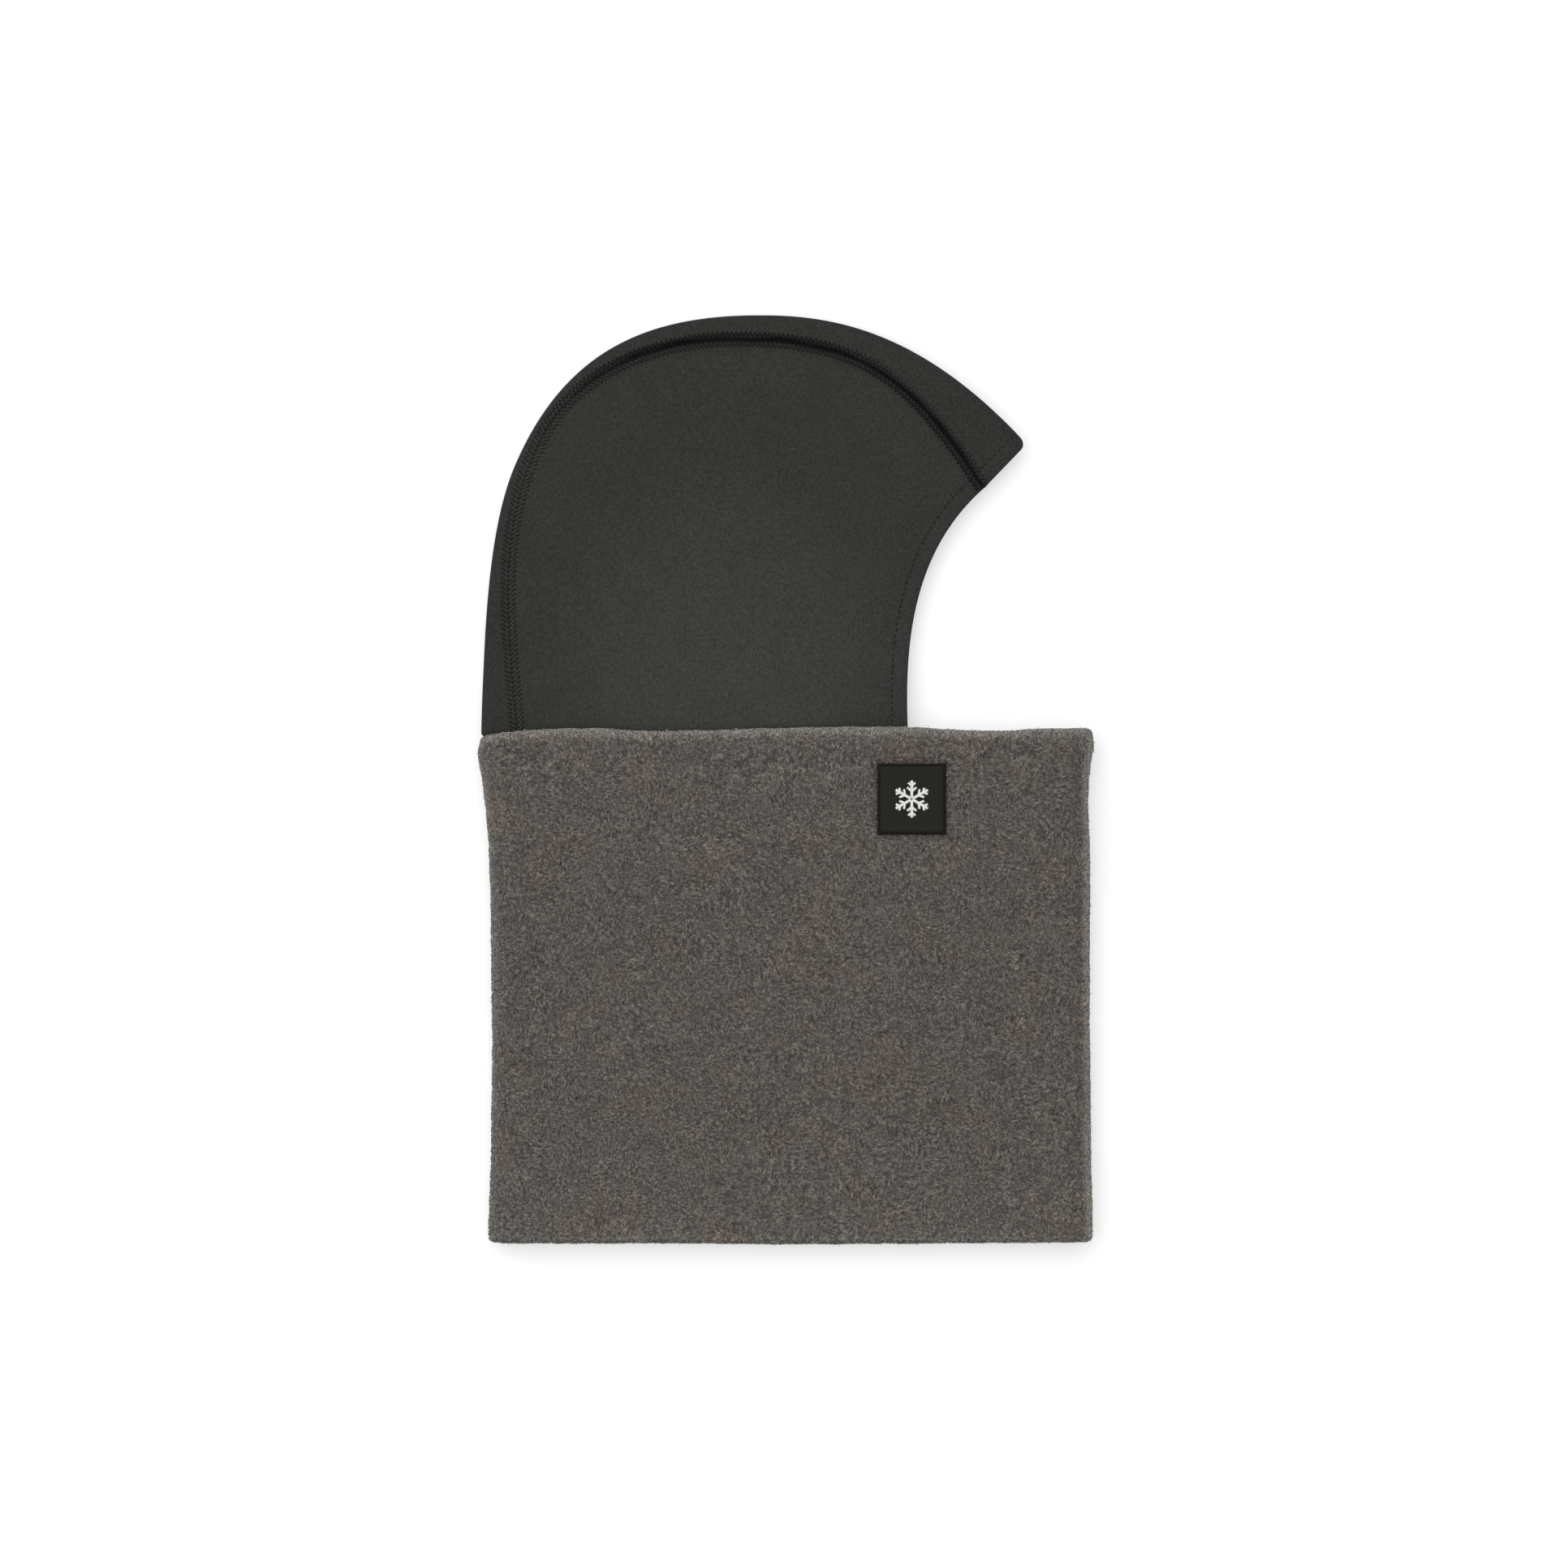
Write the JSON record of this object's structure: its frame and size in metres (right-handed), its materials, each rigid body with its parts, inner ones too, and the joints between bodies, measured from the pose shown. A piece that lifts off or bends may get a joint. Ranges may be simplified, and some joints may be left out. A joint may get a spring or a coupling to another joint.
{
  "type": "balaclava",
  "caption": "Balaclava lying flat: close stretch-jersey hood with a short brim, sewn into a wide double-layer fleece neck collar with a square woven label.",
  "frame": {"origin": "middle of the footprint on the table, with the garment lying flat on its left side", "axes": "+X towards the face opening and the brim, +Y up from the collar to the crown, +Z up off the table, out of the wearer's right side"},
  "size_m": [0.262, 0.4, 0.021],
  "materials": {
    "fleece": "heather pile, matte",
    "fleece_lining": "heather pile, matte",
    "jersey": "fine stretch knit, matte",
    "seam_thread": "twisted thread, low sheen",
    "label_weave": "satin weave",
    "label_print": "woven white thread"
  },
  "bodies": {
    "collar": {"fleece_outer_layer": "fleece", "fleece_lining_layer": "fleece_lining", "collar_back_seam_thread": "seam_thread", "collar_bottom_seam_thread": "seam_thread", "label_patch": "label_weave", "label_stitching": "seam_thread", "label_emblem": "label_print", "care_label": "label_print", "hood_neck_skirt": "jersey", "neck_join_seam": "seam_thread"},
    "hood": {"right_side_panel": "jersey", "left_side_panel": "jersey", "centre_panel": "jersey", "right_flatlock_seam": "seam_thread", "left_flatlock_seam": "seam_thread", "right_face_hem": "jersey", "left_face_hem": "jersey", "brim_hem": "jersey", "right_hem_stitching": "seam_thread", "left_hem_stitching": "seam_thread", "brim_hem_stitching": "seam_thread"}
  },
  "joints": [
    {"name": "hood_fold", "type": "hinge", "parent": "collar", "child": "hood", "pos_m": [0, 0.0185, 0.0178], "axis": [1, 0, 0], "range_deg": [0, 175]}
  ]
}
